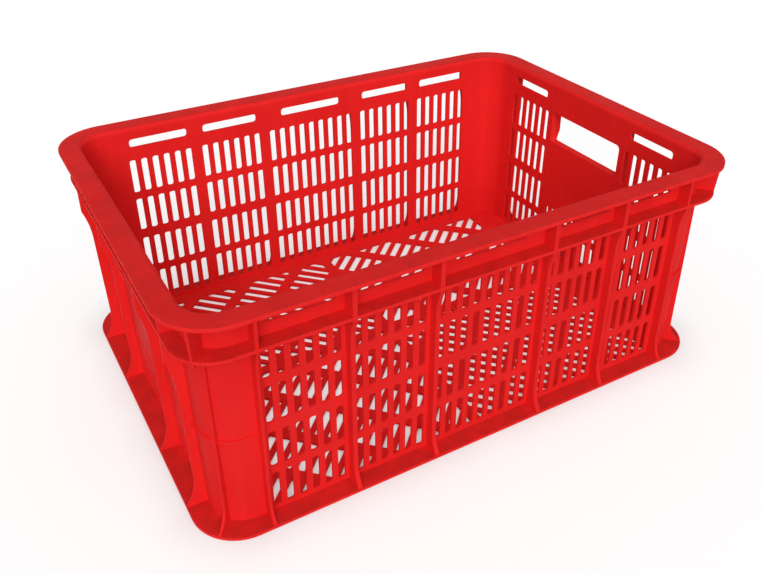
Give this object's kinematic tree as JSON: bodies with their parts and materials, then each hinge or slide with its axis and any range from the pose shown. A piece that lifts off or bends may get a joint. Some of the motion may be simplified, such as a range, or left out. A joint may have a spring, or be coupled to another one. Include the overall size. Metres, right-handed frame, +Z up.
{
  "type": "vented harvest crate",
  "caption": "Open-topped vented plastic crate with slotted walls and floor, rounded ribbed corners, a wide rim, a ledge below it and a hand hole in each end, for picking and carrying fruit.",
  "frame": {"origin": "middle of the base, on the surface that the crate stands on", "axes": "+X along the length to the right end, +Y across the width to the back wall, +Z up"},
  "size_m": [0.6, 0.427, 0.2343],
  "materials": {
    "red_plastic": "satin moulded"
  },
  "bodies": {
    "root": {"base_corner_back_left": "red_plastic", "base_corner_back_right": "red_plastic", "base_corner_front_left": "red_plastic", "base_corner_front_right": "red_plastic", "base_flange_back": "red_plastic", "base_flange_front": "red_plastic", "base_flange_left": "red_plastic", "base_flange_right": "red_plastic", "corner_post_back_left": "red_plastic", "corner_post_back_right": "red_plastic", "corner_post_front_left": "red_plastic", "corner_post_front_right": "red_plastic", "end_fins_left": "red_plastic", "end_fins_right": "red_plastic", "end_grille_left_back": "red_plastic", "end_grille_left_front": "red_plastic", "end_grille_right_back": "red_plastic", "end_grille_right_front": "red_plastic", "end_panel_left": "red_plastic", "end_panel_right": "red_plastic", "floor_panel": "red_plastic", "hand_hole_collar_left": "red_plastic", "hand_hole_collar_right": "red_plastic", "handle_bar_left": "red_plastic", "handle_bar_right": "red_plastic", "ledge_back": "red_plastic", "ledge_corner_back_left": "red_plastic", "ledge_corner_back_right": "red_plastic", "ledge_corner_front_left": "red_plastic", "ledge_corner_front_right": "red_plastic", "ledge_front": "red_plastic", "ledge_left": "red_plastic", "ledge_right": "red_plastic", "rim_back": "red_plastic", "rim_corner_back_left": "red_plastic", "rim_corner_back_right": "red_plastic", "rim_corner_front_left": "red_plastic", "rim_corner_front_right": "red_plastic", "rim_front": "red_plastic", "rim_left": "red_plastic", "rim_right": "red_plastic", "rim_webs_back": "red_plastic", "rim_webs_front": "red_plastic", "rim_webs_left": "red_plastic", "rim_webs_right": "red_plastic", "wall_back": "red_plastic", "wall_front": "red_plastic", "wall_ribs_back": "red_plastic", "wall_ribs_front": "red_plastic"}
  },
  "joints": []
}
